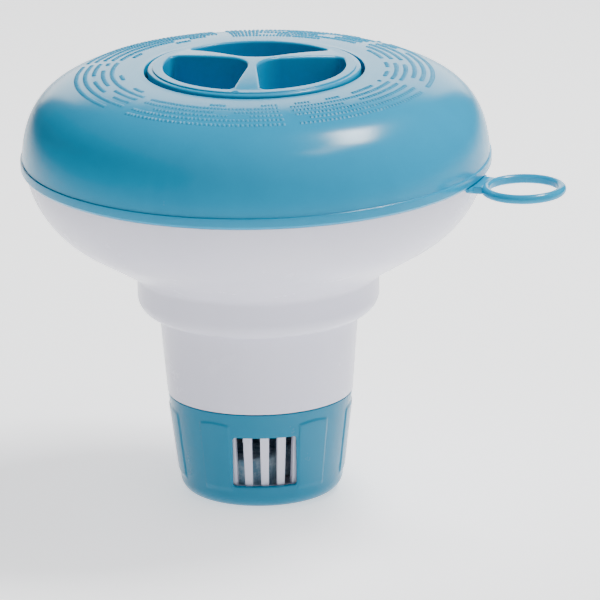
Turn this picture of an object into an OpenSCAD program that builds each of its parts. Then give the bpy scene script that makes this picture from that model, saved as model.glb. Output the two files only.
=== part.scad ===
// Floating pool chlorine dispenser: a hollow ring float with a tablet tube through it.
// Millimetres. The origin is the middle of the flat foot, +Z runs up the float's axis, and the
// tether ring points along +X.

/* [Float] */
// Diameter over the seam band
float_d = 178.6; // [176:0.2:182]
// Height of the rim that the cap sits in
float_h = 165.2; // [163:0.2:168]
// Height of the upper shell's lower edge
seam_z = 127.6; // [126:0.2:129]
// Height of the seam band
band_h = 4.4; // [3.5:0.1:5]
// Wall thickness of both shells
wall = 2.2; // [1.8:0.1:2.6]
// Squareness of the dome's shoulder, where 2 is an ellipse
dome_n = 3.36; // [2.8:0.02:3.8]

/* [Neck and collar] */
// Bore that the tablets are dropped through
neck_bore_d = 77.8; // [77:0.1:78.4]
// Outside diameter of the collar under the bowl
collar_d = 92; // [91:0.2:94]
// Height of the collar's underside
collar_z = 70.8; // [69:0.2:72]
// Radius of the collar's lower edge
collar_round = 7; // [6:0.1:7.2]
// Slope of the bowl beside the collar, in degrees
bowl_slope = 31; // [29:0.5:33]
// Radius of the bowl's side
bowl_round = 41; // [39:0.5:43]

/* [Tube] */
// Outside diameter under the collar
tube_top_d = 75.8; // [75:0.1:76.6]
// Outside diameter just above the flow cup
tube_low_d = 70.6; // [70:0.1:71]
// Thickness of the tube's wall inside the flow cup
core_wall = 2.6; // [2.4:0.1:2.8]
// Width of one vent slot
slot_w = 3.1; // [2.6:0.1:3.4]
// Number of vent slots in each of the two groups
slot_count = 6; // [4:1:6]
// Angle from one vent slot to the next
slot_pitch = 12; // [11:0.5:13]

/* [Flow cup] */
// Height of the cup
cup_h = 38.8; // [37:0.2:40]
// Outside diameter of the cup's rim
cup_top_d = 70.2; // [69.6:0.1:70.6]
// Outside diameter of the cup just above its rounded foot
cup_foot_d = 62; // [61:0.2:63]
// Radius of the cup's lower edge
cup_round = 6; // [5:0.1:6.4]
// Wall thickness of the cup
cup_wall = 1.9; // [1.7:0.1:2.1]
// Width of each of the two windows
window_w = 24; // [20:0.5:25]
// Height of the window's lower edge
window_z = 9.2; // [8.5:0.1:10]
// Height of the window
window_h = 20; // [17:0.5:21]
// How far the grip pads stand out
pad_t = 0.45; // [0.3:0.05:0.6]
// Direction of the first window
cup_yaw = -67.6; // [-90:0.1:0]

/* [Cap] */
// Diameter of the hole in the float that the cap drops into
recess_d = 83.6; // [83:0.1:84.4]
// Diameter of the cap's rim
cap_d = 80.8; // [80:0.1:81.4]
// Depth of the finger wells
well_depth = 22; // [16:0.5:23]
// Radius of the finger wells' outer wall
well_r = 34.5; // [33.5:0.1:34.8]
// Radius of the wells' rounded inner end
well_nose = 13; // [10:0.5:14]
// Radius of the wells' two outer corners
well_corner = 2.6; // [1.5:0.1:4]
// Rise of the cap for one whole turn
thread_lead = 36; // [32:1:40]
// Direction of the first rib
cap_yaw = -75; // [-120:0.5:0]

/* [Tether ring] */
// Distance of the ring's middle from the float's axis
ring_x = 106.8; // [106:0.2:110]
// Height of the ring's middle
ring_z = 126.6; // [126.4:0.1:129.5]
// Mean diameter of the ring
ring_d = 28.6; // [28:0.1:31]
// Thickness of the ring
ring_wire = 3.5; // [2.8:0.1:3.6]
// Radius of the flat land inside the ring
ring_land_r = 12.8; // [12.8:0.05:12.8]

/* [Tablets] */
// Diameter of one tablet, a little worn
tablet_d = 24; // [22:0.2:24]
// Thickness of one tablet
tablet_h = 13; // [11:0.5:14]

/* [Hidden] */
$fn = 96;
eps = 0.01;
play = 0.35;
float_r = float_d / 2;
band_step = 0.45;

// Dome: a quarter of a superellipse that starts inside the band
dome_r0 = 30;
dome_z0 = 121;
dome_r = float_r - band_step + 0.05;
dome_top = float_h - 0.2;
band_top = seam_z + band_h;

// Seam between the shells
skirt_r = 86.2;
rim_r = 86;
ledge_r = 84;
ledge_z = seam_z + 4;

// Neck: bore, groove depth and outside radii
bore_r = neck_bore_d / 2;
groove_r = bore_r + 1.5;
neck_r = groove_r + 2.2;
neck_low_r = bore_r + 2.4;
neck_low_z = 134;
foot_r = 43.6;
foot_bore_r = 41.2;
foot_top_z = 93;
recess_r = recess_d / 2;
seat_z = 160;
recess_wall_r = recess_r + 2.4;

// Collar and bowl
collar_r = collar_d / 2;
socket_r = foot_r + 0.2;
socket_z = collar_z + collar_round + 0.2;
bowl_z = 86.4;
bowl_foot_len = 26;

// Flow cup and the tube's core inside it
cup_top_r = cup_top_d / 2;
cup_foot_r = cup_foot_d / 2;
cup_taper = (cup_top_r - cup_foot_r) / (cup_h - cup_round);
function cup_out(z) = cup_foot_r + cup_taper * (z - cup_round);
function cup_in(z) = cup_out(z) - cup_wall;
function core_out(z) = cup_in(z) - play;
function core_in(z) = core_out(z) - core_wall;
shoulder_z = cup_h + 0.3;
core_z = 3.6;
core_floor = 2.2;
core_round = 3.75;
snap_z = 35.5;

// Drain holes and the turning stop
drain_d = 3.6;
drain_r = 13;
stop_in = 18;
stop_out = 23;
stop_half = 5;
lug_half = 6;
cup_turn = 90;

// Cap
cap_r = cap_d / 2;
cap_rim_z = float_h + 1.4;
cap_crown = 2.4;
crown_edge = 35.6;
cap_under = 161.6;
skirt_out = bore_r - 1.3;
skirt_in = skirt_out - 2.2;
cap_skirt_z = 146;
cap_skin = 1.8;
rib_half_hub = 2.1;
rib_half_rim = 5.3;
rib_hub_at = 11;

// Thread: three helical lugs on the cap in three helical grooves in the neck
thread_starts = 3;
lug_arc = 16;
lug_z = 152;
lug_h = 3.4;
lug_r = groove_r - 0.45;
cap_turn = 105;
thread_play = 0.4;

// Seal
seal_in = skirt_out + 0.2;
seal_out = cap_r - 0.1;

// Points on an arc about c with radius r, from angle a to angle b
function arc(c, r, a, b, n = 8) =
    [for (i = [0:n]) c + r * [cos(a + (b - a) * i / n), sin(a + (b - a) * i / n)]];

// The same without its two ends, for an arc between two others
function bend(c, r, a, b, n = 6) =
    [for (i = [1:n - 1]) c + r * [cos(a + (b - a) * i / n), sin(a + (b - a) * i / n)]];

// Points on the dome from height z1 up and in to radius r2, moved inwards by t
function dome(z1, r2, t, n = 26) =
    let (a = dome_r - dome_r0 - t,
         b = dome_top - dome_z0 - t,
         t1 = asin(pow((z1 - dome_z0) / b, dome_n / 2)),
         t2 = acos(pow((r2 - dome_r0) / a, dome_n / 2)))
    [for (i = [0:n])
        let (k = t1 + (t2 - t1) * i / n)
        [dome_r0 + a * pow(cos(k), 2 / dome_n), dome_z0 + b * pow(sin(k), 2 / dome_n)]];

function reversed(p) = [for (i = [len(p) - 1:-1:0]) p[i]];

// One wall of a helical band, from angle a to angle b about +Z, as a closed polyhedron
module helix_band(r1, r2, z, h, a, b, n) {
    section = [[r1, -h / 2], [r2, -h / 2], [r2, h / 2], [r1, h / 2]];
    points = [for (i = [0:n], p = section)
        let (k = a + (b - a) * i / n)
        [p[0] * cos(k), p[0] * sin(k), z + thread_lead * k / 360 + p[1]]];
    sides = [for (i = [0:n - 1], j = [0:3])
        let (k = (j + 1) % 4)
        each [[4 * i + j, 4 * i + k, 4 * i + 4 + k], [4 * i + j, 4 * i + 4 + k, 4 * i + 4 + j]]];
    ends = [[3, 2, 1, 0], [4 * n, 4 * n + 1, 4 * n + 2, 4 * n + 3]];
    polyhedron(points, concat(sides, ends));
}

// Sector of a flat ring from angle a to angle b
module sector(r1, r2, z1, z2, a, b) {
    rotate([0, 0, a])
        rotate_extrude(angle = b - a)
            translate([r1, z1])
                square([r2 - r1, z2 - z1]);
}

// Upper shell: dome, seam band and the recess for the cap
module upper_shell() {
    color("deepskyblue")
        rotate_extrude()
            polygon(concat(
                band_profile(),
                dome(band_top + 0.2, recess_r + 0.9, 0),
                [[recess_r + 0.25, float_h - 0.45], [recess_r, float_h - 1.1], [recess_r, seat_z],
                 [neck_r, seat_z], [neck_r, seat_z - 4], [recess_wall_r, seat_z - 2],
                 [recess_wall_r, seat_z]],
                reversed(dome(ledge_z + 4, recess_wall_r + 2, wall)),
                [[ledge_r, ledge_z + 1.4], [ledge_r, ledge_z], [skirt_r, ledge_z]]));
}

// Outside of the seam band, from its inner lower edge up
function band_profile() =
    [[skirt_r, seam_z], [dome_r - 1, seam_z], [float_r, seam_z + 1.1],
     [float_r, band_top - 0.5], [dome_r, band_top]];

// Neck tube: from the collar up to the seal's seat, with three thread grooves in its bore
module neck_tube() {
    color("skyblue")
        difference() {
            rotate_extrude()
                polygon([[bore_r, seat_z], [bore_r, foot_top_z + 5], [foot_bore_r, foot_top_z],
                         [foot_bore_r, socket_z], [foot_r, socket_z], [foot_r, foot_top_z + 1],
                         [neck_low_r, foot_top_z + 6], [neck_low_r, neck_low_z - 3],
                         [neck_r, neck_low_z], [neck_r, seat_z]]);
            for (i = [0:thread_starts - 1])
                rotate([0, 0, cap_yaw + 360 * i / thread_starts])
                    helix_band(bore_r - 1, groove_r, lug_z, lug_h + 2 * thread_play,
                               -lug_arc / 2 - 1, cap_turn + lug_arc / 2 + 1, 20);
        }
}

// Tether ring with its tab, a flared web that hugs the foot of the seam band
module tether_ring() {
    web_h = ring_wire - 0.3;
    color("deepskyblue") {
        translate([ring_x, 0, ring_z])
            difference() {
                rotate_extrude()
                    translate([ring_d / 2, 0])
                        circle(d = ring_wire);
                cylinder(r = ring_land_r, h = 2 * ring_wire, center = true);
            }
        difference() {
            translate([0, 0, ring_z - web_h / 2])
                linear_extrude(web_h)
                    difference() {
                        polygon([[skirt_r, -10.2], [skirt_r + 1.5, -10.2], [float_r - 0.1, -8.6],
                                 [float_r + 1.3, -6.6], [ring_x - 13, -5.4], [ring_x - 13, 5.4],
                                 [float_r + 1.3, 6.6], [float_r - 0.1, 8.6], [skirt_r + 1.5, 10.2],
                                 [skirt_r, 10.2]]);
                        circle(r = skirt_r + 1.6);
                        translate([ring_x, 0])
                            circle(r = ring_d / 2);
                    }
            rotate_extrude()
                polygon(concat([[skirt_r - 6, band_top], [skirt_r - 6, seam_z]], band_profile()));
        }
    }
}

// Lower shell: bowl, collar, tapered tube, and the slotted core that the flow cup turns on
module lower_shell() {
    slope_end = [collar_r, bowl_z] + bowl_foot_len * [cos(bowl_slope), sin(bowl_slope)];
    side_c = slope_end + bowl_round * [-sin(bowl_slope), cos(bowl_slope)];
    side_end = asin((seam_z - 0.3 - side_c[1]) / bowl_round);
    side_in_end = asin((seam_z + 0.5 - side_c[1]) / (bowl_round - wall));
    slope_in = slope_end + wall * [-sin(bowl_slope), cos(bowl_slope)];
    crease_in_z = slope_in[1] - (slope_in[0] - socket_r) * tan(bowl_slope);
    collar_c = [collar_r - collar_round, collar_z + collar_round];
    core_c = [core_out(core_z + core_round) - core_round, core_z + core_round];
    floor_z = core_z + core_floor;
    color("gainsboro")
        difference() {
            union() {
                rotate_extrude()
                    polygon(concat(
                        [[0, core_z]],
                        arc(core_c, core_round, -90, 0, 6),
                        [[core_out(snap_z - 1.4), snap_z - 1.4], [core_out(snap_z) - 1.1, snap_z - 0.7],
                         [core_out(snap_z) - 1.1, snap_z + 0.7], [core_out(snap_z + 1.4), snap_z + 1.4],
                         [core_out(shoulder_z), shoulder_z], [tube_low_d / 2 - 0.3, shoulder_z],
                         [tube_low_d / 2, shoulder_z + 0.3], [tube_top_d / 2, collar_z]],
                        arc(collar_c, collar_round, -90, 0, 10),
                        [[collar_r, bowl_z - 1.6], [collar_r + 1.6, bowl_z + 1.2]],
                        arc(side_c, bowl_round, bowl_slope - 90, side_end, 20),
                        [[rim_r, seam_z - 0.3], [rim_r, ledge_z], [ledge_r, ledge_z]],
                        arc(side_c, bowl_round - wall, side_in_end, bowl_slope - 90, 20),
                        [[socket_r, crease_in_z], [socket_r, socket_z], [socket_r - 1.4, socket_z]],
                        arc(collar_c, collar_round - wall, -24, -90, 6),
                        [[tube_top_d / 2 - 2.4, collar_z + wall], [tube_low_d / 2 - 2.4, shoulder_z + 3],
                         [core_in(shoulder_z - 1), shoulder_z - 1],
                         [core_in(floor_z + 2), floor_z + 2], [core_in(floor_z) - 1.8, floor_z],
                         [0, floor_z]]));
                sector(stop_in, stop_out, core_z - 1.3, core_z + eps, cup_yaw - lug_half, cup_yaw + lug_half);
            }
            for (side = [0, 180], i = [0:slot_count - 1])
                rotate([0, 0, cup_yaw + side + slot_pitch * (i - (slot_count - 1) / 2)])
                    translate([15, -slot_w / 2, window_z - 0.7])
                        cube([25, slot_w, window_h + 1.4]);
            for (side = [0, 180])
                rotate([0, 0, cup_yaw + side])
                    translate([drain_r, 0, 0])
                        cylinder(d = drain_d, h = 2 * floor_z);
        }
}

// Flow cup: turns on the tube's core to cover or uncover the vent slots
module flow_cup() {
    foot_c = [cup_foot_r - cup_round, cup_round];
    pads = [[22.5, 45], [67.5, 112.5], [135, 157.5]];
    color("darkcyan")
        rotate([0, 0, cup_yaw])
            difference() {
                union() {
                    rotate_extrude()
                        polygon(concat(
                            [[0, 0]],
                            arc(foot_c, cup_round, -90, 0, 9),
                            [[cup_top_r - 0.03, cup_h - 0.5], [cup_top_r - 0.5, cup_h],
                             [cup_in(cup_h) + 0.3, cup_h], [cup_in(cup_h - 0.4), cup_h - 0.4],
                             [cup_in(snap_z + 1), snap_z + 1], [cup_in(snap_z) - 0.8, snap_z + 0.3],
                             [cup_in(snap_z) - 0.8, snap_z - 0.3], [cup_in(snap_z - 1), snap_z - 1]],
                            arc(foot_c, cup_round - cup_wall, 0, -90, 6),
                            [[0, cup_wall]]));
                    for (half = [0, 180], p = pads)
                        rotate([0, 0, half + p[0]])
                            rotate_extrude(angle = p[1] - p[0])
                                polygon([[cup_out(7) - 1, 7], [cup_out(7) + 0.05, 7],
                                         [cup_out(9) + pad_t, 9], [cup_out(34.2) + pad_t, 34.2],
                                         [cup_out(35) + 0.05, 35], [cup_out(35) - 1, 35]]);
                    for (s = [-cup_turn - lug_half - stop_half - 0.5, lug_half + stop_half + 0.5])
                        sector(stop_in, stop_out, cup_wall - eps, cup_wall + 1.3,
                               s - stop_half, s + stop_half);
                }
                for (side = [0, 180])
                    rotate([0, 0, side]) {
                        translate([22, -window_w / 2, window_z])
                            cube([20, window_w, window_h]);
                        translate([drain_r, 0, -1])
                            cylinder(d = drain_d, h = cup_wall + 2);
                    }
            }
}

// Outline of one finger well, grown by g: outer arc, two rib sides, round corners and inner end
function well_outline(g) =
    let (lean = atan((rib_half_rim - rib_half_hub) / (well_r - rib_hub_at)),
         half = 60 - lean,
         apex = (rib_half_hub - rib_hub_at * tan(lean)) / (sin(60) - cos(60) * tan(lean)),
         nose = [apex + well_nose / sin(half), 0],
         along = [cos(half), sin(half)],
         foot = nose + (well_nose - well_corner) * [-sin(half), cos(half)],
         reach = -foot * along
             + sqrt(pow(foot * along, 2) - foot * foot + pow(well_r - well_corner, 2)),
         corner = foot + reach * along,
         spread = atan2(corner[1], corner[0]))
    concat(arc([0, 0], well_r + g, -spread, spread, 20),
           bend(corner, well_corner + g, spread, 90 + half),
           arc(nose, well_nose + g, 90 + half, 270 - half, 14),
           bend([corner[0], -corner[1]], well_corner + g, 270 - half, 360 - spread));

// Cap: crowned top with three finger wells, and a skirt with three thread lugs
module cap() {
    crown_r = (crown_edge * crown_edge + cap_crown * cap_crown) / (2 * cap_crown);
    crown_z = cap_rim_z + cap_crown - crown_r;
    well_z = cap_rim_z - well_depth;
    color("deepskyblue")
        rotate([0, 0, cap_yaw])
            difference() {
                union() {
                    rotate_extrude()
                        polygon(concat(
                            [[0, cap_rim_z - 1.5]],
                            [[skirt_in, cap_rim_z - 3], [skirt_in, cap_skirt_z], [skirt_out, cap_skirt_z],
                             [skirt_out, cap_under], [cap_r, cap_under]],
                            arc([cap_r - 1.6, cap_rim_z - 1.6], 1.6, 0, 90, 6),
                            [for (i = [0:12])
                                let (r = crown_edge * (1 - i / 12))
                                [r, crown_z + sqrt(crown_r * crown_r - r * r)]]));
                    for (i = [0:2])
                        rotate([0, 0, 60 + 120 * i])
                            translate([0, 0, well_z - cap_skin])
                                linear_extrude(well_depth - 1)
                                    polygon(well_outline(cap_skin));
                    for (i = [0:thread_starts - 1])
                        rotate([0, 0, 360 * i / thread_starts])
                            helix_band(skirt_out - 0.6, lug_r, lug_z, lug_h,
                                       -lug_arc / 2, lug_arc / 2, 4);
                }
                for (i = [0:2])
                    rotate([0, 0, 60 + 120 * i])
                        translate([0, 0, well_z])
                            linear_extrude(2 * well_depth)
                                polygon(well_outline(0));
            }
}

// Seal: a flat rubber ring held under the cap's rim
module cap_seal() {
    color("dimgray")
        rotate_extrude()
            polygon([[seal_in, seat_z + 0.05], [seal_out - 0.2, seat_z + 0.05], [seal_out, seat_z + 0.3],
                     [seal_out, cap_under - 0.2], [seal_out - 0.2, cap_under], [seal_in, cap_under]]);
}

// Tablet: a disc with bevelled edges
module tablet() {
    bevel = 1.6;
    color("white")
        rotate_extrude()
            polygon([[0, 0], [tablet_d / 2 - bevel, 0], [tablet_d / 2, bevel],
                     [tablet_d / 2, tablet_h - bevel], [tablet_d / 2 - bevel, tablet_h], [0, tablet_h]]);
}

// The three lowest tablets lie side by side on the core's floor
module low_tablet(i) {
    rotate([0, 0, 30 + 120 * i])
        translate([tablet_d / 2 / cos(30) + 0.1, 0, core_z + core_floor])
            tablet();
}

upper_shell();
neck_tube();
tether_ring();
lower_shell();
flow_cup();
cap();
cap_seal();
low_tablet(0);  // tablet_1
low_tablet(1);  // tablet_2
low_tablet(2);  // tablet_3
rotate([0, 0, 130])  // tablet_4
        translate([11, 0, core_z + core_floor + tablet_h])
            tablet();
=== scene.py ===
import math

import bmesh
import bpy
import numpy as np
from mathutils import Matrix, Vector, noise
from mathutils.geometry import delaunay_2d_cdt


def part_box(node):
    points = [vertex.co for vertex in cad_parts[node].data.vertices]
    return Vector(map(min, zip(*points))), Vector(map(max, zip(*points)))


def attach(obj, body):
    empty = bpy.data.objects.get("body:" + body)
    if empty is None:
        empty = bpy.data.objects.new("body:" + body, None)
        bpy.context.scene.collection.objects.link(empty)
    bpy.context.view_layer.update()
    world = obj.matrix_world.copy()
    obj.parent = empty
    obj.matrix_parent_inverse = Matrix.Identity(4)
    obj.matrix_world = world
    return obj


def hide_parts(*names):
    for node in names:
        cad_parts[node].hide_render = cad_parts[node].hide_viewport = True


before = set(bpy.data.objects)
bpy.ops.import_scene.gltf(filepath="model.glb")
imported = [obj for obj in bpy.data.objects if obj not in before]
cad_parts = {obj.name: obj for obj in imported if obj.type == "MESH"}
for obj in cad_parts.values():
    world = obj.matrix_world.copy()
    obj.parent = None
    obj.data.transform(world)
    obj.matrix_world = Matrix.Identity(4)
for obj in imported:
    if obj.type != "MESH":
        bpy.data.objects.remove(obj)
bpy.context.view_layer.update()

# Upper shell of the float: dome, seam band and the recess for the cap, in one moulding of cyan
# polypropylene. It is turned about the float's axis from one closed section.


class Wire:
    """One output in a node tree. Arithmetic on it adds Math nodes, and node() adds any other."""

    def __init__(self, tree, socket=None):
        self.tree, self.socket = tree, socket

    def node(self, kind, settings=None, sockets=None, output=0):
        made = self.tree.nodes.new(kind)
        for name, value in (settings or {}).items():
            setattr(made, name, value)
        for name, value in (sockets or {}).items():
            usable = [s for s in made.inputs if s.enabled]
            into = usable[name] if isinstance(name, int) else next(s for s in usable if s.name == name)
            if isinstance(value, Wire):
                self.tree.links.new(value.socket, into)
            else:
                into.default_value = value
        outs = [s for s in made.outputs if s.enabled]
        if not outs:
            return None
        return Wire(self.tree, outs[output] if isinstance(output, int) else made.outputs[output])

    def beside(self, output):
        """Another output of the same node."""
        return Wire(self.tree, self.socket.node.outputs[output])

    def math(self, operation, *values):
        return self.node("ShaderNodeMath", {"operation": operation}, dict(enumerate(values)))

    def __add__(self, other):
        return self.math("ADD", self, other)

    def __sub__(self, other):
        return self.math("SUBTRACT", self, other)

    def __rsub__(self, other):
        return self.math("SUBTRACT", other, self)

    def __mul__(self, other):
        return self.math("MULTIPLY", self, other)

    def __truediv__(self, other):
        return self.math("DIVIDE", self, other)

    __radd__ = __add__
    __rmul__ = __mul__


def start_tree(name, inputs):
    """An empty Geometry Nodes tree with named inputs, and its inputs as wires."""
    tree = bpy.data.node_groups.new(name, "GeometryNodeTree")
    tree.interface.new_socket("Geometry", in_out="OUTPUT", socket_type="NodeSocketGeometry")
    for label, kind in (("Geometry", "Geometry"), *inputs, ("Material", "Material")):
        tree.interface.new_socket(label, in_out="INPUT", socket_type="NodeSocket" + kind)
    first = Wire(tree).node("NodeGroupInput")
    return first, {s.name: first.beside(s.name) for s in first.socket.node.outputs if s.name}


def end_tree(geometry, given):
    """Every tree ends in real, smooth faces that carry the piece's material."""
    smooth = geometry.node("GeometryNodeSetShadeSmooth", None, {"Geometry": geometry})
    whole = smooth.node("GeometryNodeRealizeInstances", None, {"Geometry": smooth})
    coated = whole.node("GeometryNodeSetMaterial", None, {"Geometry": whole, "Material": given["Material"]})
    coated.node("NodeGroupOutput", None, {"Geometry": coated})
    return coated.tree


def add_piece(name, mesh):
    """A new object in the scene that holds a mesh."""
    piece = bpy.data.objects.new(name, mesh)
    bpy.context.scene.collection.objects.link(piece)
    return piece


def grown_by(tree, name, mesh, values):
    """The plain mesh that a tree makes from a mesh, as a new piece."""
    blank = add_piece(name + "_blank", mesh)
    nodes = blank.modifiers.new("nodes", "NODES")
    nodes.node_group = tree
    for item in tree.interface.items_tree:
        if item.in_out == "INPUT" and item.name in values:
            nodes[item.identifier] = values[item.name]
    bpy.context.view_layer.update()
    ready = blank.evaluated_get(bpy.context.evaluated_depsgraph_get())
    plain = bpy.data.meshes.new_from_object(ready)
    blank.modifiers.remove(nodes)
    bpy.data.objects.remove(blank)
    plain.set_sharp_from_angle(angle=math.radians(32))
    return add_piece(name, plain)


def turned_tree():
    """Turns a closed section, given as points in the XZ plane, about Z."""
    first, given = start_tree("turned_wall", [("Segments", "Int")])
    points = first.node(
        "GeometryNodeAttributeDomainSize", {"component": "MESH"}, {"Geometry": given["Geometry"]}
    )
    columns = given["Segments"] + 1
    wall = first.node(
        "GeometryNodeMeshGrid", None, {"Vertices X": points + 1, "Vertices Y": columns}
    )
    index = first.node("GeometryNodeInputIndex")
    row = (index / columns).math("FLOOR", index / columns)
    column = index - row * columns
    at = first.node(
        "GeometryNodeSampleIndex",
        {"data_type": "FLOAT_VECTOR", "domain": "POINT"},
        {
            "Geometry": given["Geometry"],
            "Value": first.node("GeometryNodeInputPosition"),
            "Index": row.math("MODULO", row, points),
        },
    )
    apart = at.node("ShaderNodeSeparateXYZ", None, {0: at})
    angle = column / given["Segments"] * math.tau
    place = at.node(
        "ShaderNodeCombineXYZ",
        None,
        {
            "X": apart * angle.math("COSINE", angle),
            "Y": apart * angle.math("SINE", angle),
            "Z": apart.beside("Z"),
        },
    )
    moved = wall.node("GeometryNodeSetPosition", None, {"Geometry": wall, "Position": place})
    closed = moved.node("GeometryNodeMergeByDistance", None, {"Geometry": moved, "Distance": 1e-6})
    loose = closed.node("GeometryNodeInputMeshEdgeNeighbors")
    clean = closed.node(
        "GeometryNodeDeleteGeometry",
        {"domain": "EDGE", "mode": "EDGE_FACE"},
        {"Geometry": closed, "Selection": loose.math("LESS_THAN", loose, 0.5)},
    )
    return end_tree(clean.node("GeometryNodeFlipFaces", None, {"Mesh": clean}), given)


def arc(centre, radius, start, end, steps):
    """Points on an arc, in degrees, as section points with no rounding of their own."""
    angles = np.radians(np.linspace(start, end, steps + 1))
    return [(centre[0] + radius * math.cos(a), centre[1] + radius * math.sin(a), 0) for a in angles]


def rounded(corners, steps=4):
    """A closed section in metres from corners (radius, height, rounding) in millimetres."""
    out = []
    for i, (x, y, size) in enumerate(corners):
        here = Vector((x, y))
        if not size:
            out.append(here)
            continue
        before = Vector(corners[i - 1][:2]) - here
        after = Vector(corners[(i + 1) % len(corners)][:2]) - here
        half = before.angle(after) / 2
        reach = min(size / math.tan(half), 0.48 * before.length, 0.48 * after.length)
        a, b = here + reach * before.normalized(), here + reach * after.normalized()
        middle = here + (before.normalized() + after.normalized()).normalized() * reach / math.cos(half)
        for k in range(steps + 1):
            spoke = (a - middle).lerp(b - middle, k / steps).normalized()
            out.append(middle + spoke * (a - middle).length)
    return [(p.x / 1000, 0, p.y / 1000) for p in out]


def turned(name, section, segments, material):
    """A piece turned from a closed section in metres."""
    outline = bpy.data.meshes.new(name)
    outline.from_pydata(section, [], [])
    return grown_by(turn, name, outline, {"Segments": segments, "Material": material})


def bare_material(name):
    """A material with no nodes but the Object coordinates that its patterns read."""
    material = bpy.data.materials.new(name)
    material.use_nodes = True
    material.node_tree.nodes.clear()
    return material, Wire(material.node_tree).node("ShaderNodeTexCoord", output="Object")


def moulded(name, colour, deep, rough, milk=0.0, marks=1.0):
    """Moulded polypropylene: faint flow marks, a fine mould grain and a little scuffing."""
    material, place = bare_material(name)
    stretched = place.node("ShaderNodeMapping", {}, {"Vector": place, "Scale": (1, 1, 0.25)})
    flow = place.node(
        "ShaderNodeTexNoise", {}, {"Vector": stretched, "Scale": 34, "Detail": 3, "Distortion": 1.2}
    )
    grain = place.node("ShaderNodeTexNoise", {}, {"Vector": place, "Scale": 1400, "Detail": 2})
    peel = place.node("ShaderNodeTexNoise", {}, {"Vector": place, "Scale": 190, "Detail": 1})
    rubbed = place.node(
        "ShaderNodeTexNoise", {}, {"Vector": place, "Scale": 70, "Detail": 5, "Roughness": 0.7}
    )
    scuff = place.node("ShaderNodeMapRange", {}, {"Value": rubbed, "From Min": 0.56, "From Max": 0.72})
    shade = ((flow - 0.5) * 1.1 + (grain - 0.5) * 0.35 + 0.4) * marks
    base = place.node(
        "ShaderNodeMix",
        {"data_type": "RGBA", "clamp_factor": True},
        {"Factor": shade, "A": (*colour, 1), "B": (*deep, 1)},
    )
    height = peel * 0.55 + grain * 0.45
    bump = place.node("ShaderNodeBump", {}, {"Strength": 0.16, "Distance": 0.00012, "Height": height})
    coat = place.node(
        "ShaderNodeBsdfPrincipled",
        {},
        {
            "Base Color": base,
            "Roughness": (grain - 0.5) * 0.08 + scuff * 0.07 + rough,
            "Normal": bump,
            "IOR": 1.49,
            "Specular IOR Level": 0.26,
            "Subsurface Weight": milk,
            "Subsurface Radius": (0.9, 0.9, 1.0),
            "Subsurface Scale": 0.003,
        },
    )
    coat.node("ShaderNodeOutputMaterial", {}, {"Surface": coat})
    return material


turn = turned_tree()
float_blue = moulded("float_blue", (0.0, 0.3, 0.52), (0.0, 0.26, 0.465), 0.2)

seam_z, band_top, band_r, dome_top, opening_r = 127.6, 132.0, 89.3, 165.0, 41.8
dome_start, dome_rise, dome_side = 30.0, 121.0, 88.9


def dome(low, inner, inset, steps):
    """Points up the dome's squarish shoulder and in over its top."""
    a, b, n = dome_side - dome_start - inset, dome_top - dome_rise - inset, 3.36
    t1 = math.asin(((low - dome_rise) / b) ** (n / 2))
    t2 = math.acos(((inner - dome_start) / a) ** (n / 2))
    out = []
    for t in np.linspace(t1, t2, steps + 1):
        out.append((dome_start + a * math.cos(t) ** (2 / n), dome_rise + b * math.sin(t) ** (2 / n), 0))
    return out


shell_section = [
    (86.2, seam_z, 0.15),
    (88.3, seam_z, 0.5),
    (band_r, seam_z + 1.1, 0.8),
    (band_r, band_top, 0.34),
    (88.95, band_top, 0.05),
    *dome(band_top + 0.15, opening_r + 1.0, 0, 70),
    (opening_r, 165.13, 0.75),
    (opening_r, 160, 0.1),
    (42.6, 160, 0.1),
    (42.6, 156, 0.3),
    (44.2, 158, 1),
    (44.2, 161, 0),
    *reversed(dome(135.6, 46.2, 2.2, 30)),
    (84, 133, 0.3),
    (84, 131.6, 0.1),
    (86.2, 131.6, 0.1),
]
upper_shell = turned("upper_shell_moulding", rounded(shell_section), 288, float_blue)
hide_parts("upper_shell")
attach(upper_shell, "float")

# Neck tube: the cyan tube that the tablets are dropped through, from the collar up to the seat
# of the seal. It is turned, and its three thread grooves are then cut.


def cutting_tree():
    """Cuts a row of like holes or grooves into a piece, spaced round Z."""
    first, given = start_tree(
        "cut_all_round", [("Cutter", "Object"), ("Count", "Int"), ("First", "Float"), ("Step", "Float")]
    )
    cutter = first.node(
        "GeometryNodeObjectInfo", {"transform_space": "ORIGINAL"}, {"Object": given["Cutter"]}, "Geometry"
    )
    places = first.node("GeometryNodePoints", None, {"Count": given["Count"]})
    angle = given["First"] + given["Step"] * first.node("GeometryNodeInputIndex")
    cutters = places.node(
        "GeometryNodeInstanceOnPoints",
        None,
        {
            "Points": places,
            "Instance": cutter,
            "Rotation": angle.node("ShaderNodeCombineXYZ", None, {"Z": angle}),
        },
    )
    solid = cutters.node("GeometryNodeRealizeInstances", None, {"Geometry": cutters})
    cut = solid.node(
        "GeometryNodeMeshBoolean",
        {"operation": "DIFFERENCE", "solver": "EXACT"},
        {0: given["Geometry"], 1: solid},
    )
    return end_tree(cut, given)


def cut_round(piece, cutter, count, first, step, material):
    """The piece with its holes cut. The cutter and the uncut piece are used up."""
    name, mesh = piece.name, piece.data
    bpy.data.objects.remove(piece)
    done = grown_by(
        cut,
        name,
        mesh,
        {
            "Cutter": cutter,
            "Count": count,
            "First": math.radians(first),
            "Step": math.radians(step),
            "Material": material,
        },
    )
    bpy.data.objects.remove(cutter)
    return done


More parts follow.
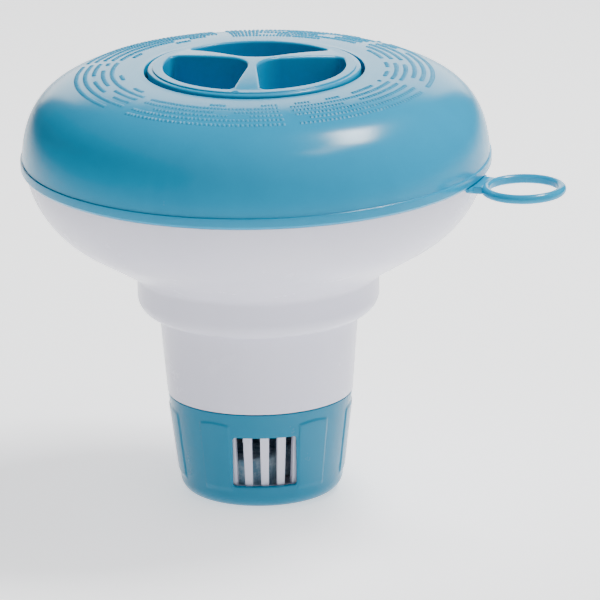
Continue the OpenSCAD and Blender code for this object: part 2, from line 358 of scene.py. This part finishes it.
def loft(name, rings, ends=True):
    """A closed mesh through rings of points in millimetres, which run the same way round."""
    count = len(rings[0])
    faces = []
    for i in range(len(rings) - 1):
        for j in range(count):
            k = (j + 1) % count
            faces.append((i * count + j, i * count + k, (i + 1) * count + k, (i + 1) * count + j))
    if ends:
        faces.append(tuple(reversed(range(count))))
        faces.append(tuple(range((len(rings) - 1) * count, len(rings) * count)))
    mesh = bpy.data.meshes.new(name)
    mesh.from_pydata([(x / 1000, y / 1000, z / 1000) for ring in rings for x, y, z in ring], [], faces)
    shape = bmesh.new()
    shape.from_mesh(mesh)
    bmesh.ops.recalc_face_normals(shape, faces=shape.faces)
    if shape.calc_volume(signed=True) < 0:
        bmesh.ops.reverse_faces(shape, faces=shape.faces)
    shape.to_mesh(mesh)
    shape.free()
    return mesh


def helix(inner, outer, height, start, end, steps):
    """Rings of a square band that climbs round Z at the thread's rise."""
    rings = []
    for a in np.linspace(start, end, steps + 1):
        c, s, z = math.cos(math.radians(a)), math.sin(math.radians(a)), thread_z + thread_rise * a / 360
        corners = ((inner, -height / 2), (outer, -height / 2), (outer, height / 2), (inner, height / 2))
        rings.append([(r * c, r * s, z + h) for r, h in corners])
    return rings


cut = cutting_tree()
cap_yaw, thread_rise, thread_z = -75, 36, 152
neck_section = [
    (38.9, 160, 0.3),
    (38.9, 98, 1),
    (41.2, 93, 1),
    (41.2, 78.2, 0.3),
    (43.6, 78.2, 0.3),
    (43.6, 94, 1),
    (41.3, 99, 1),
    (41.3, 131, 1),
    (42.6, 134, 1),
    (42.6, 160, 0.1),
]
neck = turned("neck_tube_moulding", rounded(neck_section)[::-1], 288, float_blue)
groove = add_piece("groove_cutter", loft("groove_cutter", helix(37.9, 40.4, 4.2, -9, 114, 60)))
neck = cut_round(neck, groove, 3, cap_yaw, 120, float_blue)
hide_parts("neck_tube")
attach(neck, "float")

# Tether ring: a round eye on a flared web, moulded on the foot of the seam band so that a cord
# can hold the float. Its inside has a narrow flat land.
ring_x, ring_z, ring_mean, ring_wire, ring_land = 106.8, 126.6, 14.3, 1.75, 12.8
flat = math.degrees(math.acos((ring_land - ring_mean) / ring_wire))
ring_section = rounded(arc((ring_mean, 0), ring_wire, -flat, flat, 30))
tether_ring = turned("tether_ring_moulding", ring_section, 160, float_blue)
tether_ring.data.transform(Matrix.Translation((ring_x / 1000, 0, ring_z / 1000)))
web_half, arm_half, web_root = 10.4, 7.2, 87.85
web_rings = []
for y in np.linspace(-web_half, web_half, 65):
    root = math.sqrt(web_root**2 - y * y)
    tip = math.sqrt(band_r**2 - y * y) + 1.7 * math.exp(-(max(0, abs(y) - 4.6) ** 2) / 9)
    if abs(y) < arm_half:
        arm = ring_x - math.sqrt(ring_mean**2 - y * y) + 0.9 - 1.5 * (abs(y) / arm_half) ** 4
        tip = max(tip, arm)
    taper_off = (y / web_half) ** 4
    half = 1.58 - 0.9 * taper_off
    ring = []
    for a in np.linspace(0, math.tau, 40, endpoint=False):
        c, d = math.cos(a), math.sin(a)
        x = (root + tip) / 2 + (tip - root) / 2 * abs(c) ** 0.6 * math.copysign(1, c)
        z = ring_z + 0.55 * taper_off + half * abs(d) ** 0.7 * math.copysign(1, d)
        ring.append((x, y, z))
    web_rings.append(ring)
web = loft("tether_web", web_rings)
whole = bmesh.new()
whole.from_mesh(tether_ring.data)
whole.from_mesh(web)
for face in whole.faces:
    face.smooth, face.material_index = True, 0
whole.to_mesh(tether_ring.data)
whole.free()
tether_ring.data.materials.clear()
tether_ring.data.materials.append(float_blue)
tether_ring.data.set_sharp_from_angle(angle=math.radians(32))
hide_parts("tether_ring")
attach(tether_ring, "float")

# Raised marks on the dome: six rows of plain moulded dashes round the opening, where such a
# float carries its instructions. They follow the dome's surface, and are coloured a little darker
# than the dome as painted shade.


def marks_tree():
    """Lays rows of dashes round Z on a shell, in blocks with a gap between them."""
    first, given = start_tree(
        "raised_marks",
        [
            ("Shell", "Object"),
            ("Rows", "Int"),
            ("Places", "Int"),
            ("Block", "Int"),
            ("Radius", "Float"),
            ("Pitch", "Float"),
            ("Seed", "Int"),
        ],
    )
    shell = first.node(
        "GeometryNodeObjectInfo", {"transform_space": "ORIGINAL"}, {"Object": given["Shell"]}, "Geometry"
    )
    index = first.node("GeometryNodeInputIndex")
    word = index.math("FLOOR", index / 5)
    row = index.math("FLOOR", index / given["Places"])
    column = index - row * given["Places"]
    radius = given["Radius"] + given["Pitch"] * row
    chance = first.node(
        "FunctionNodeRandomValue",
        {"data_type": "FLOAT"},
        {"Min": 0.0, "Max": 1.0, "ID": word, "Seed": given["Seed"]},
    )
    share = first.node(
        "FunctionNodeRandomValue",
        {"data_type": "FLOAT"},
        {"Min": 0.62, "Max": 0.94, "ID": index, "Seed": given["Seed"] + 1},
    )
    angle = (column + share * 0.5) / given["Places"] * math.tau
    above = first.node(
        "ShaderNodeCombineXYZ",
        None,
        {
            "X": radius * angle.math("COSINE", angle),
            "Y": radius * angle.math("SINE", angle),
            "Z": 0.2,
        },
    )
    hit = first.node(
        "GeometryNodeRaycast",
        None,
        {
            "Target Geometry": shell,
            "Source Position": above,
            "Ray Direction": (0, 0, -1),
            "Ray Length": 0.1,
        },
    )
    tilt = hit.node("ShaderNodeSeparateXYZ", None, {0: hit.beside("Hit Normal")}).beside("Z")
    places = first.node("GeometryNodePoints", None, {"Count": given["Rows"] * given["Places"]})
    laid = places.node(
        "GeometryNodeSetPosition", None, {"Geometry": places, "Position": hit.beside("Hit Position")}
    )
    gap = column.math("MODULO", column, given["Block"])
    wanted = row.math("MINIMUM", row, 1) * 0.5 + 0.38
    kept = chance.math("LESS_THAN", chance, wanted) * gap.math("GREATER_THAN", gap, 2.5)
    length = radius * share / given["Places"] * math.tau * 1000
    dashes = laid.node(
        "GeometryNodeInstanceOnPoints",
        None,
        {
            "Points": laid,
            "Selection": kept,
            "Instance": given["Geometry"],
            "Rotation": laid.node(
                "ShaderNodeCombineXYZ", None, {"Y": tilt.math("ARCCOSINE", tilt), "Z": angle}
            ),
            "Scale": laid.node("ShaderNodeCombineXYZ", None, {"X": 1.0, "Y": length, "Z": 1.0}),
        },
    )
    return end_tree(dashes, given)


dash_levels = ((0.95, 0.5, -0.15), (0.95, 0.5, 0.02), (0.5, 0.34, 0.28), (0.12, 0.12, 0.4))
dash_end = ((1, 0.8), (0.7, 1), (-0.7, 1), (-1, 0.8))
dash_outline = (*dash_end, *[(-x, -y) for x, y in dash_end])
dash_rings = []
for half_wide, half_long, z in dash_levels:
    dash_rings.append([(half_wide * x, half_long * y, z) for x, y in dash_outline])
# A slightly darker copy of the dome's blue is painted shade along the rows; the marks are the same plastic,
# only rougher.
marks_blue = moulded("marks_blue", (0.0, 0.29, 0.5), (0.0, 0.25, 0.445), 0.42)
marks = grown_by(
    marks_tree(),
    "raised_marks",
    loft("dash", dash_rings),
    {
        "Shell": upper_shell,
        "Rows": 6,
        "Places": 246,
        "Block": 41,
        "Radius": 0.0504,
        "Pitch": 0.0034,
        "Seed": 4,
        "Material": marks_blue,
    },
)
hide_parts("upper_shell")
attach(marks, "float")

# Lower shell of the float: bowl, collar and tapered tablet tube in one moulding of cool white,
# slightly milky polypropylene. Two groups of six vent slots are cut in the core at its foot.
float_white = moulded("float_white", (0.77, 0.76, 0.87), (0.7, 0.69, 0.81), 0.24, milk=0.12, marks=0.8)


def cup_out(z):
    """Outside radius of the flow cup's wall at a height."""
    return 31 + 0.125 * (z - 6)


def core_out(z):
    """Outside radius of the tube's core, which turns inside the cup with a little play."""
    return cup_out(z) - 2.25


def core_in(z):
    """Inside radius of the core's slotted wall."""
    return core_out(z) - 2.6


bowl_slope, bowl_round, wall = math.radians(31), 41, 2.2
lean = Vector((-math.sin(bowl_slope), math.cos(bowl_slope)))
slope_end = Vector((46, 86.4)) + 26 * Vector((math.cos(bowl_slope), math.sin(bowl_slope)))
side = slope_end + bowl_round * lean
side_top = math.degrees(math.asin((127.3 - side.y) / bowl_round))
inner_top = math.degrees(math.asin((128.1 - side.y) / (bowl_round - wall)))
slope_in = slope_end + wall * lean
bowl_section = [
    (0, 3.6, 0),
    *arc((core_out(7.35) - 3.75, 7.35), 3.75, -90, 0, 10),
    (core_out(34.1), 34.1, 0.4),
    (core_out(35.5) - 1.1, 34.8, 0.3),
    (core_out(35.5) - 1.1, 36.2, 0.3),
    (core_out(36.9), 36.9, 0.4),
    (core_out(39.1), 39.1, 0.2),
    (35.3, 39.1, 0.4),
    (37.9, 70.8, 0.7),
    *arc((39, 77.8), 7, -90, 0, 18),
    (46, 86.4, 3.2),
    *arc(side, bowl_round, -59, side_top, 56),
    (86, 127.3, 0.1),
    (86, 131.6, 0.2),
    (84, 131.6, 0.2),
    *arc(side, bowl_round - wall, inner_top, -59, 40),
    (43.8, slope_in.y - (slope_in.x - 43.8) * math.tan(bowl_slope), 0.4),
    (43.8, 78, 0.2),
    (42.4, 78, 0.2),
    *arc((39, 77.8), 4.8, -24, -90, 8),
    (35.5, 73, 0.6),
    (32.9, 42.1, 1.5),
    (core_in(38.1), 38.1, 1.2),
    (core_in(7.8), 7.8, 0.5),
    (core_in(5.8) - 1.8, 5.8, 0.5),
    (0, 5.8, 0),
]
lower_shell = turned("lower_shell_moulding", rounded(bowl_section), 288, float_white)

cup_yaw = -67.6
slot_half, slot_flare, slot_low, slot_high = 1.55, 1.95, 8.5, 29.9
slot_rings = []
for z in (slot_low, slot_high):
    face = core_out(z)
    corners = ((15, slot_half), (face - 0.3, slot_half), (face + 0.1, slot_flare), (40, slot_flare))
    ring = [(x, y, z) for x, y in corners] + [(x, -y, z) for x, y in reversed(corners)]
    slot_rings.append(ring)
for yaw in (cup_yaw, cup_yaw + 180):
    slot_cutter = add_piece("slot_cutter", loft("slot_cutter", slot_rings))
    lower_shell = cut_round(lower_shell, slot_cutter, 6, yaw - 30, 12, float_white)


def round_hole(x, radius, low, high):
    """A cutter for a round hole through a floor."""
    angles = np.linspace(0, math.tau, 32, endpoint=False)
    spokes = [(x + radius * math.cos(a), radius * math.sin(a)) for a in angles]
    return loft("hole_cutter", [[(a, b, z) for a, b in spokes] for z in (low, high)])


drain_r, drain_half = 13, 1.8
drain = add_piece("drain_cutter", round_hole(drain_r, drain_half, 2, 8))
lower_shell = cut_round(lower_shell, drain, 2, cup_yaw, 180, float_white)
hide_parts("lower_shell")
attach(lower_shell, "float")


def block(inner, outer, low, high, start, end):
    """A stop block: part of a flat ring."""
    rings = []
    for a in np.linspace(math.radians(start), math.radians(end), 9):
        corners = ((inner, low), (outer, low), (outer, high), (inner, high))
        rings.append([(r * math.cos(a), r * math.sin(a), z) for r, z in corners])
    return loft("stop_block", rings)


stop_in, stop_out = 18, 23
stop_lug = add_piece("stop_lug", block(stop_in, stop_out, 2.3, 3.7, cup_yaw - 6, cup_yaw + 6))
stop_lug.data.materials.append(float_white)
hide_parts("lower_shell")
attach(stop_lug, "float")

# Flow cup: the teal cup that snaps on the core and turns to set the flow. Two windows let water
# reach the vent slots, and low grip pads stand round its side.
cup_teal = moulded("cup_teal", (0.0, 0.205, 0.345), (0.0, 0.175, 0.3), 0.22)
cup_section = [
    (0, 0, 0),
    *arc((25, 6), 6, -90, -4, 14),
    *[(cup_out(z), z, 0) for z in np.linspace(6, 38.2, 64)],
    (cup_out(38.8), 38.8, 0.45),
    (cup_out(38.8) - 1.9, 38.8, 0.35),
    (cup_out(36.5) - 1.9, 36.5, 0.3),
    (cup_out(35.5) - 2.7, 35.8, 0.2),
    (cup_out(35.5) - 2.7, 35.2, 0.2),
    (cup_out(34.5) - 1.9, 34.5, 0.3),
    *arc((25, 6), 4.1, 0, -90, 10),
    (0, 1.9, 0),
]
flow_cup = turned("flow_cup_moulding", rounded(cup_section), 480, cup_teal)


def ease(t):
    """A smooth step from 0 to 1."""
    t = np.clip(t, 0, 1)
    return t * t * (3 - 2 * t)


pad_rise = 0.45
spots = np.empty(len(flow_cup.data.vertices) * 3)
flow_cup.data.vertices.foreach_get("co", spots)
spots = spots.reshape(-1, 3) * 1000
reach, height = np.hypot(spots[:, 0], spots[:, 1]), spots[:, 2]
bearing = (np.degrees(np.arctan2(spots[:, 1], spots[:, 0])) - cup_yaw) % 180
raised = np.zeros(len(spots))
for start, end in ((22.5, 45), (67.5, 112.5), (135, 157.5)):
    middle, half = (start + end) / 2, (end - start) / 2
    across = (bearing - middle) / half
    top = 34.2 + 0.9 * (1 - np.clip(across, -1, 1) ** 2)
    pad = ease((1 - np.abs(across)) * half / 1.1) * ease((height - 6.8) / 2.2) * ease((top - height) / 1.0)
    raised = np.maximum(raised, pad)
raised *= reach > cup_out(height) - 0.5
spots[:, :2] *= (1 + pad_rise * raised / np.maximum(reach, 1))[:, None]
flow_cup.data.vertices.foreach_set("co", (spots / 1000).ravel())


def rounded_window(half_wide, low, high, corner, grow, steps=5):
    """Outline of a window in its own plane, grown by some amount."""
    mid_z, half_tall = (low + high) / 2, (high - low) / 2
    out = []
    for sy, sz, a in ((1, 1, 0), (-1, 1, 90), (-1, -1, 180), (1, -1, 270)):
        for t in np.radians(np.linspace(a, a + 90, steps + 1)):
            y = sy * (half_wide - corner) + (corner + grow) * math.cos(t)
            out.append((y, mid_z + sz * (half_tall - corner) + (corner + grow) * math.sin(t)))
    dense = []
    for (y1, z1), (y2, z2) in zip(out, out[1:] + out[:1]):
        cuts = max(1, round(math.hypot(y2 - y1, z2 - z1) / 1.2))
        dense += [(y1 + (y2 - y1) * k / cuts, z1 + (z2 - z1) * k / cuts) for k in range(cuts)]
    return dense


def window_ring(depth, grow):
    """The window's outline laid on the cup's side, some way below its surface."""
    outline = rounded_window(window_half, window_low, window_high, window_corner, grow)
    return [(math.sqrt(cup_out(z) ** 2 - y * y) - depth, y, z) for y, z in outline]


window_half, window_low, window_high, window_corner = 12, 9.2, 29.2, 0.9
window_rings = [[(22, y, z) for _, y, z in window_ring(0, 0)]]
for t in np.radians((0, 20, 40, 60)):
    window_rings.append(window_ring(0.6 * (1 - math.sin(t)), 0.6 * (1 - math.cos(t))))
window_rings.append(window_ring(-1.2, 2.5))
window_cutter = add_piece("window_cutter", loft("window_cutter", window_rings))
flow_cup = cut_round(flow_cup, window_cutter, 2, cup_yaw, 180, cup_teal)
drain = add_piece("drain_cutter", round_hole(drain_r, drain_half, -1, 3))
flow_cup = cut_round(flow_cup, drain, 2, cup_yaw, 180, cup_teal)
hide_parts("flow_cup")
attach(flow_cup, "flow_cup")
for n, middle in enumerate((-101.5, 11.5)):
    start, end = cup_yaw + middle - 5, cup_yaw + middle + 5
    stop = add_piece(f"stop_block_{n + 1}", block(stop_in, stop_out, 1.8, 3.2, start, end))
    stop.data.materials.append(cup_teal)
    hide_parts("flow_cup")
    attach(stop, "flow_cup")

# Tablets: pressed chlorine tablets lying in the foot of the tube, white and chalky, their faces
# and edges already eaten by the water. Their blue-grey colour is painted shade of the tube
# over that white.
chalk, place = bare_material("tablet_chalk")
blotch = place.node(
    "ShaderNodeTexNoise", {}, {"Vector": place, "Scale": 160, "Detail": 4, "Roughness": 0.65}
)
powder = place.node("ShaderNodeTexNoise", {}, {"Vector": place, "Scale": 2200, "Detail": 2})
damp = place.node("ShaderNodeMapRange", {}, {"Value": blotch, "From Min": 0.38, "From Max": 0.62})
# Both tones are blue-grey: painted shade of the tube on white tablets. The blotches between them vary at
# random.
tint = place.node(
    "ShaderNodeMix",
    {"data_type": "RGBA"},
    {"Factor": damp, "A": (0.2, 0.37, 0.48, 1), "B": (0.62, 0.76, 0.83, 1)},
)
pitted = place.node(
    "ShaderNodeBump", {}, {"Strength": 0.6, "Distance": 0.0006, "Height": blotch * 0.7 + powder * 0.3}
)
face = place.node(
    "ShaderNodeBsdfPrincipled", {}, {"Base Color": tint, "Roughness": 0.95 - damp * 0.15, "Normal": pitted}
)
face.node("ShaderNodeOutputMaterial", {}, {"Surface": face})
tablet_section = [
    (0, 0.1, 0),
    *[(r, 0.1, 0) for r in np.linspace(0.8, 9.6, 12)],
    *arc((9.8, 2.1), 2.0, -80, 0, 6),
    *arc((9.8, 10.7), 2.0, 0, 80, 6),
    *[(r, 12.7, 0) for r in np.linspace(9.6, 0.8, 12)],
    (0, 12.7, 0),
]
heart = Vector((0, 0, 0.0064))
for n in range(4):
    name = f"tablet_{n + 1}"
    tablet = turned(name + "_pressed", rounded(tablet_section), 72, chalk)
    low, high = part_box(name)
    centre = (low + high) / 2
    for vertex in tablet.data.vertices:
        at = vertex.co * 1000 + Vector((0, 0, 40 * n))
        worn = noise.fractal(at * 0.35, 0.6, 2.0, 4) * 0.35 + 0.12 + 0.5 * max(0, noise.noise(at * 0.16))
        out = vertex.co - heart
        vertex.co -= out.normalized() * min(max(worn, 0), 1.0) / 1000
    tablet.data.transform(Matrix.Translation((centre.x, centre.y, low.z)))
    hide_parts(name)
    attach(tablet, "float")

# Cap: the cyan screw cap with three deep finger wells, a hub and three ribs between them. Its
# top is crowned, its rim has a fine step, and three lugs on the skirt run in the neck's grooves.
cap_blue = moulded("cap_blue", (0.0, 0.295, 0.515), (0.0, 0.255, 0.46), 0.21)
rim_z, crown, hub_r, floor_z = 166.6, 2.4, 35.6, 144.6
crown_r = (hub_r**2 + crown**2) / (2 * crown)


def top_z(r):
    """Height of the crowned top, which is flat outside the wells."""
    return rim_z + crown - crown_r + math.sqrt(crown_r**2 - min(r, hub_r) ** 2)


def well_outline(grow, outer=34.5):
    """A finger well's outline about +X: outer arc, rib sides, round corners and inner end."""
    rib_wide, wide_r, rib_slim, slim_r, sixth = 5.3, 34.5, 2.1, 11, math.radians(60)
    lean = math.atan((rib_wide - rib_slim) / (wide_r - slim_r))
    half = sixth - lean
    apex = (rib_slim - slim_r * math.tan(lean)) / (math.sin(sixth) - math.cos(sixth) * math.tan(lean))
    end, corner_r = 13, 2.6
    nose = Vector((apex + end / math.sin(half), 0))
    along, across = Vector((math.cos(half), math.sin(half))), Vector((-math.sin(half), math.cos(half)))
    foot = nose + (end - corner_r) * across
    run = -foot.dot(along) + math.sqrt(foot.dot(along) ** 2 - foot.dot(foot) + (outer - corner_r) ** 2)
    corner = foot + run * along
    spread, turn_to = math.atan2(corner.y, corner.x), math.pi / 2 + half
    upper = []
    for t in np.linspace(0, spread, 24):
        upper.append(((outer + grow) * math.cos(t), (outer + grow) * math.sin(t)))
    for t in np.linspace(spread, turn_to, 9)[1:]:
        upper.append((corner.x + (corner_r + grow) * math.cos(t), corner.y + (corner_r + grow) * math.sin(t)))
    last, first = Vector(upper[-1]), nose + across * (end + grow)
    upper += [tuple(last.lerp(first, k / 12)) for k in range(1, 12)]
    for t in np.linspace(turn_to, math.pi, 20):
        upper.append((nose.x + (end + grow) * math.cos(t), (end + grow) * math.sin(t)))
    return upper + [(x, -y) for x, y in reversed(upper[1:-1])]


def spun(points, angle):
    """Points turned about Z by an angle in degrees."""
    c, s = math.cos(math.radians(angle)), math.sin(math.radians(angle))
    return [(x * c - y * s, x * s + y * c, *rest) for x, y, *rest in points]


def inside(points, loop):
    """Which points lie inside a closed loop."""
    x, y = np.asarray(points, float).T
    odd = np.zeros(len(x), bool)
    for (x1, y1), (x2, y2) in zip(loop, loop[1:] + loop[:1]):
        if y1 != y2:
            odd ^= ((y1 > y) != (y2 > y)) & (x < (x2 - x1) * (y - y1) / (y2 - y1) + x1)
    return odd


def patch(edge, holes, height, spacing, up):
    """Faces that fill an edge loop, less its holes, with enough points for an even surface."""
    grid = [
        (x + (j % 2) * spacing / 2, y)
        for j, y in enumerate(np.arange(-42, 42, spacing * 0.866))
        for x in np.arange(-42, 42, spacing)
    ]
    keep = inside(grid, edge)
    for hole in holes:
        keep &= ~inside(grid, hole)
    loops = np.array([p for loop in (edge, *holes) for p in loop])
    grid = [g for g, k in zip(grid, keep) if k and np.hypot(*(loops - g).T).min() > 0.6 * spacing]
    points, links = [], []
    for loop in (edge, *holes):
        n = len(points)
        points += loop
        links += [(n + k, n + (k + 1) % len(loop)) for k in range(len(loop))]
    points += grid
    found = delaunay_2d_cdt([Vector(p[:2]) for p in points], links, [], 0, 1e-6)
    spots, faces = [tuple(v) for v in found[0]], found[2]
    centres = [tuple(np.mean([spots[k] for k in f], 0)) for f in faces]
    keep = inside(centres, edge)
    for hole in holes:
        keep &= ~inside(centres, hole)
    made = []
    for f, k in zip(faces, keep):
        if k:
            corners = [(*spots[i], height(math.hypot(*spots[i]))) for i in f]
            made.append(corners if up else corners[::-1])
    return made


def strips(rings):
    """Quads between rings that run the same way round."""
    out = []
    for low, high in zip(rings, rings[1:]):
        for j in range(len(low)):
            k = (j + 1) % len(low)
            out.append([low[j], low[k], high[k], high[j]])
    return out


def circle(radius, count=288):
    angles = np.linspace(0, math.tau, count, endpoint=False)
    return [(radius * math.cos(a), radius * math.sin(a)) for a in angles]


def under_z(r):
    """Height of the cap's underside between the wells."""
    return 165.1 - 1.5 * r / skirt_in


edge_round, floor_round, taper = 1.05, 2.6, 0.5
crown_edge, skirt_in, under_r, skin, skin_round = 38.1, 35.4, 33.3, 1.8, 2
rim_section = [
    (crown_edge, rim_z, 0),
    *arc((crown_edge, rim_z - 0.45), 0.45, 80, 8, 4),
    *arc((38.85, rim_z - 0.33), 0.25, 190, 265, 3),
    *arc((39.35, 164.95), 1.05, 92, 2, 8),
    *arc((40.1, 161.9), 0.3, -5, -85, 3),
    (37.9, 161.6, 0),
    *arc((37.9, 161.3), 0.3, 95, 175, 3),
    *arc((37.2, 146.4), 0.4, -5, -85, 3),
    *arc((35.8, 146.4), 0.4, -95, -175, 3),
    (skirt_in, 163.6, 0),
]
faces = strips([[(x, y, z) for x, y in circle(r)] for r, z, _ in rim_section])
faces = [f[::-1] for f in faces]
holes = [spun(well_outline(edge_round), cap_yaw + 60 + 120 * i) for i in range(3)]
faces += patch(circle(crown_edge), holes, top_z, 1.5, True)
under = [spun(well_outline(skin, under_r), cap_yaw + 60 + 120 * i) for i in range(3)]
faces += patch(circle(skirt_in), under, under_z, 3, False)
for i in range(3):
    yaw = cap_yaw + 60 + 120 * i
    rings = []
    for t in np.radians(np.linspace(0, 90, 8)):
        flat_ring = well_outline(edge_round * (1 - math.sin(t)))
        down = edge_round * (1 - math.cos(t))
        rings.append([(x, y, top_z(math.hypot(x, y)) - down) for x, y in flat_ring])
    for s in np.linspace(0, 1, 9)[1:]:
        ring = []
        for x, y in well_outline(-taper * s):
            brim = top_z(math.hypot(x, y)) - edge_round
            ring.append((x, y, brim * (1 - s) + (floor_z + floor_round) * s))
        rings.append(ring)
    for t in np.radians(np.linspace(0, 90, 8))[1:]:
        flat_ring = well_outline(-taper - floor_round * (1 - math.cos(t)))
        rings.append([(x, y, floor_z + floor_round * (1 - math.sin(t))) for x, y in flat_ring])
    faces += strips([spun(ring, yaw) for ring in rings])
    faces += patch([p[:2] for p in spun(rings[-1], yaw)], [], lambda r: floor_z, 2.5, True)
    rings = [[(x, y, under_z(math.hypot(x, y))) for x, y in well_outline(skin, under_r)]]
    for t in np.radians(np.linspace(0, 90, 6)):
        flat_ring = well_outline(skin - skin_round * (1 - math.cos(t)), under_r)
        rings.append([(x, y, floor_z - skin + skin_round * (1 - math.sin(t))) for x, y in flat_ring])
    faces += [f[::-1] for f in strips([spun(ring, yaw) for ring in rings])]
    faces += patch([p[:2] for p in spun(rings[-1], yaw)], [], lambda r: floor_z - skin, 3, False)
cap_mesh = bpy.data.meshes.new("cap_moulding")
corners = [(x / 1000, y / 1000, z / 1000) for f in faces for x, y, z in f]
ends = np.cumsum([0] + [len(f) for f in faces])
cap_mesh.from_pydata(corners, [], [tuple(range(a, b)) for a, b in zip(ends, ends[1:])])
whole = bmesh.new()
whole.from_mesh(cap_mesh)
bmesh.ops.remove_doubles(whole, verts=whole.verts, dist=2e-6)
bmesh.ops.recalc_face_normals(whole, faces=whole.faces)
for i in range(3):
    lug = loft("thread_lug", helix(37, 39.95, 3.4, -8, 8, 12))
    lug.transform(Matrix.Rotation(math.radians(cap_yaw + 120 * i), 4, "Z"))
    whole.from_mesh(lug)
pointer_r, pointer_yaw = 36.9, -80.8
pointer = []
for size, z in ((1.0, rim_z - 0.2), (1.0, rim_z + 0.08), (0.72, rim_z + 0.2)):
    triangle = [(pointer_r + size * x, size * y, z) for x, y in ((0.95, -1.4), (0.95, 1.4), (-0.85, 0))]
    pointer.append(spun(triangle, pointer_yaw))
whole.from_mesh(loft("pointer_mark", pointer))
for face in whole.faces:
    face.smooth = True
whole.to_mesh(cap_mesh)
whole.free()
cap_mesh.set_sharp_from_angle(angle=math.radians(38))
cap_mesh.materials.append(cap_blue)
cap = add_piece("cap_moulding", cap_mesh)
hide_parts("cap")
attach(cap, "cap")

# Cap seal: a flat ring of black rubber round the skirt, pressed between the cap's rim and the
# ledge in the neck.
rubber, place = bare_material("seal_rubber")
bloom = place.node("ShaderNodeTexNoise", {}, {"Vector": place, "Scale": 300, "Detail": 3})
tint = place.node(
    "ShaderNodeMix",
    {"data_type": "RGBA"},
    {"Factor": bloom, "A": (0.02, 0.02, 0.022, 1), "B": (0.05, 0.05, 0.052, 1)},
)
pores = place.node("ShaderNodeBump", {}, {"Strength": 0.3, "Distance": 0.0001, "Height": bloom})
face = place.node(
    "ShaderNodeBsdfPrincipled", {}, {"Base Color": tint, "Roughness": bloom * 0.2 + 0.5, "Normal": pores}
)
face.node("ShaderNodeOutputMaterial", {}, {"Surface": face})
seal_section = [(37.8, 160.05, 0.2), (40.3, 160.05, 0.4), (40.3, 161.6, 0.3), (37.8, 161.6, 0.2)]
seal = turned("cap_seal_ring", rounded(seal_section), 192, rubber)
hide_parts("cap_seal")
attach(seal, "seal")

# Studio: a plain pale floor that glows, which is painted light, brightest round the float and fading
# out away from it, a bright back panel, one long soft key light with a faint spill on its far side,
# and a sky that is brighter from the right. The camera stands in front and a little above, with a
# slight tilt.
floor_mesh = bpy.data.meshes.new("floor")
floor_corners = [(x, y, -0.0004) for x, y in ((-9, -9), (9, -9), (9, 9), (-9, 9))]
floor_mesh.from_pydata(floor_corners, [], [(0, 1, 2, 3)])
floor = add_piece("floor", floor_mesh)
paper, place = bare_material("floor_paper")
fibre = place.node("ShaderNodeTexNoise", {}, {"Vector": place, "Scale": 5, "Detail": 2})
tint = place.node(
    "ShaderNodeMix",
    {"data_type": "RGBA"},
    {"Factor": fibre, "A": (0.9, 0.905, 0.91, 1), "B": (0.92, 0.925, 0.93, 1)},
)
away = place.node("ShaderNodeVectorMath", {"operation": "LENGTH"}, {0: place}, "Value")
glow_fade = place.node(
    "ShaderNodeMapRange",
    {"interpolation_type": "SMOOTHSTEP"},
    {"Value": away, "From Min": 0.4, "From Max": 1.5},
)
# Painted light: the floor glows white near the float and dark far out, and this glow lights the float's
# underside.
floor_glow = place.node(
    "ShaderNodeMix", {"data_type": "RGBA"}, {"Factor": glow_fade, "A": (1, 1, 1, 1), "B": (0.12, 0.125, 0.13, 1)}
)
face = place.node(
    "ShaderNodeBsdfPrincipled",
    {},
    {
        "Base Color": tint,
        "Roughness": 0.9,
        "Specular IOR Level": 0.1,
        "Emission Color": floor_glow,
        "Emission Strength": 1.0,
    },
)
face.node("ShaderNodeOutputMaterial", {}, {"Surface": face})
floor_mesh.materials.append(paper)

world = bpy.data.worlds.new("studio")
bpy.context.scene.world = world
world.use_nodes = True
world.node_tree.nodes.clear()
view = Wire(world.node_tree).node("ShaderNodeTexCoord", output="Generated")
toward = view.node(
    "ShaderNodeVectorMath", {"operation": "DOT_PRODUCT"}, {0: view, 1: (0.62, -0.42, 0.66)}, "Value"
)
glow = toward.math("POWER", toward.math("MAXIMUM", toward * 0.5 + 0.5, 0), 3)
sky = view.node("ShaderNodeBackground", {}, {"Color": (0.93, 0.96, 1.0, 1), "Strength": glow * 0.68 + 0.07})
sky.node("ShaderNodeOutputWorld", {}, {"Surface": sky})

azimuth, height, roll = math.radians(20), math.radians(16.7), math.radians(1.02)
back = Vector((math.sin(azimuth) * math.cos(height), -math.cos(azimuth) * math.cos(height), math.sin(height)))
level = Vector((math.cos(azimuth), math.sin(azimuth), 0))
upright = back.cross(level)
right = level * math.cos(roll) - upright * math.sin(roll)
up = level * math.sin(roll) + upright * math.cos(roll)
aim = Vector((0, 0, 0.0859)) + right * 0.0159 - up * 0.0114
lens = bpy.data.cameras.new("camera")
lens.sensor_width, lens.lens = 36, 600
lens.clip_end = 30
camera = bpy.data.objects.new("camera", lens)
bpy.context.scene.collection.objects.link(camera)
camera.matrix_world = Matrix.Translation(aim + back * 3.8) @ Matrix((right, up, back)).transposed().to_4x4()
bpy.context.scene.camera = camera


def softbox(name, bearing, height, distance, wide, tall, power):
    """A soft light round the float, at a bearing from the camera's side and a height angle."""
    lamp = bpy.data.lights.new(name, "AREA")
    lamp.shape, lamp.size, lamp.size_y = "RECTANGLE", wide, tall
    lamp.energy = power
    unit = bpy.data.objects.new(name, lamp)
    bpy.context.scene.collection.objects.link(unit)
    a, e = math.radians(bearing - 70), math.radians(height)
    away = Vector((math.cos(a) * math.cos(e), math.sin(a) * math.cos(e), math.sin(e)))
    facing = away.to_track_quat("Z", "Y").to_matrix().to_4x4()
    unit.matrix_world = Matrix.Translation(Vector((0, 0, 0.1)) + away * distance) @ facing
    unit.visible_camera = False


softbox("back_panel", 180, 14, 2.0, 1.5, 1.0, 15)
softbox("key_light", 114, 63, 1.6, 0.66, 0.28, 36)
softbox("key_spill", 66, 64, 1.6, 0.5, 0.24, 3.5)
